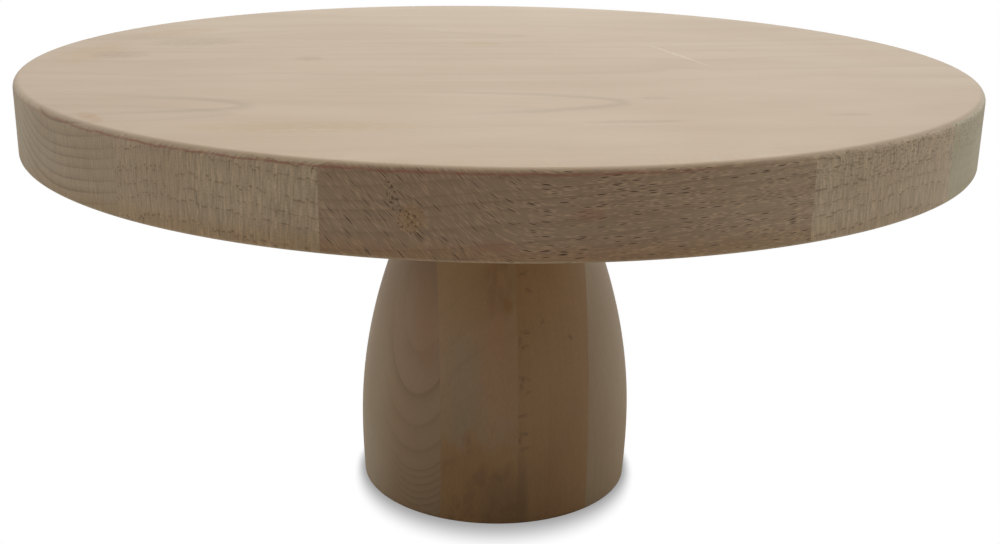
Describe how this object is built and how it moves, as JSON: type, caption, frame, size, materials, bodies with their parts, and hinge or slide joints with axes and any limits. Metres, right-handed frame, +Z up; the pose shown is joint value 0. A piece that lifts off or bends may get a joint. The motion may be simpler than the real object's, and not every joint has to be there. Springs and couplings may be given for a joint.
{
  "type": "cake stand",
  "caption": "Round wooden cake stand: a flat edge-glued plate screwed onto a turned, bellied foot laminated from upright boards.",
  "frame": {"origin": "centre of the foot's underside, on the surface the stand rests on", "axes": "+Z up along the turning axis; -Y to the front, towards the narrow front stave; +X to the right"},
  "size_m": [0.3, 0.3, 0.144],
  "materials": {
    "plate_wood": "fine-sanded and lightly oiled beech, satin",
    "foot_wood": "turned and lightly oiled beech, satin",
    "bolt_steel": "zinc plated",
    "insert_brass": "as machined",
    "washer_nylon": "natural nylon"
  },
  "bodies": {
    "foot": {"foot_board_1": "foot_wood", "foot_board_2": "foot_wood", "foot_board_3": "foot_wood", "foot_board_4": "foot_wood", "hanger_bolt": "bolt_steel"},
    "washer": {"washer": "washer_nylon"},
    "plate": {"plate_stave_1": "plate_wood", "plate_stave_2": "plate_wood", "plate_stave_3": "plate_wood", "plate_stave_4": "plate_wood", "plate_stave_5": "plate_wood", "plate_stave_6": "plate_wood", "plate_stave_7": "plate_wood", "threaded_insert": "insert_brass"}
  },
  "joints": [
    {"name": "plate_rise", "type": "slide", "parent": "foot", "child": "washer", "axis": [0, 0, 1], "range_m": [0, 0.0125]},
    {"name": "plate_unscrew", "type": "hinge", "parent": "washer", "child": "plate", "pos_m": [0, 0, 0.122], "axis": [0, 0, 1], "range_deg": [0, 3600]}
  ],
  "couplings": [
    {"joint": "plate_rise", "follows": "plate_unscrew", "m_per_rad": 0.00019894}
  ]
}
